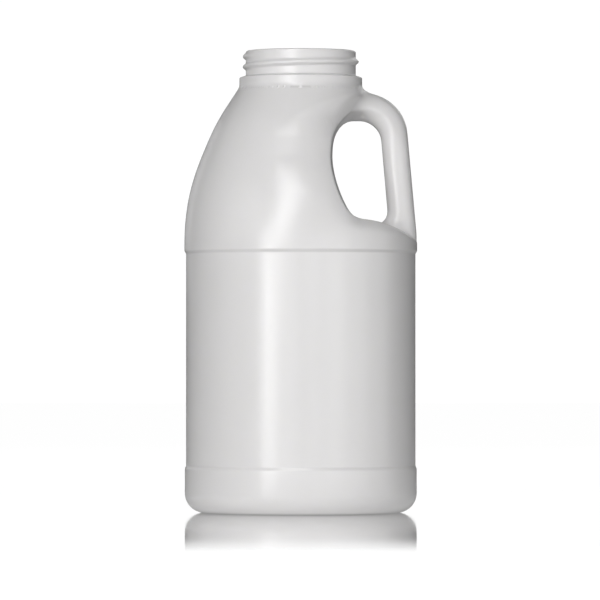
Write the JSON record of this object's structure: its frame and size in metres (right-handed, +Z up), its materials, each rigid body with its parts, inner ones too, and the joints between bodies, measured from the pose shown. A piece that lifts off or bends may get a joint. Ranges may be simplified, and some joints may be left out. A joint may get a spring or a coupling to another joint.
{
  "type": "handled plastic jug",
  "caption": "Round blow-moulded plastic jug with a hollow grip handle moulded into its shoulder and a wide threaded neck, empty and without its cap.",
  "frame": {"origin": "middle of the base, at the height of the ring that the jug stands on", "axes": "+Z up along the axis of the neck, +X towards the handle, the mould's parting plane in XZ"},
  "size_m": [0.0948, 0.0948, 0.188],
  "materials": {
    "natural_polyethylene": "satin, milky translucent"
  },
  "bodies": {
    "root": {"jug": "natural_polyethylene"}
  },
  "joints": []
}
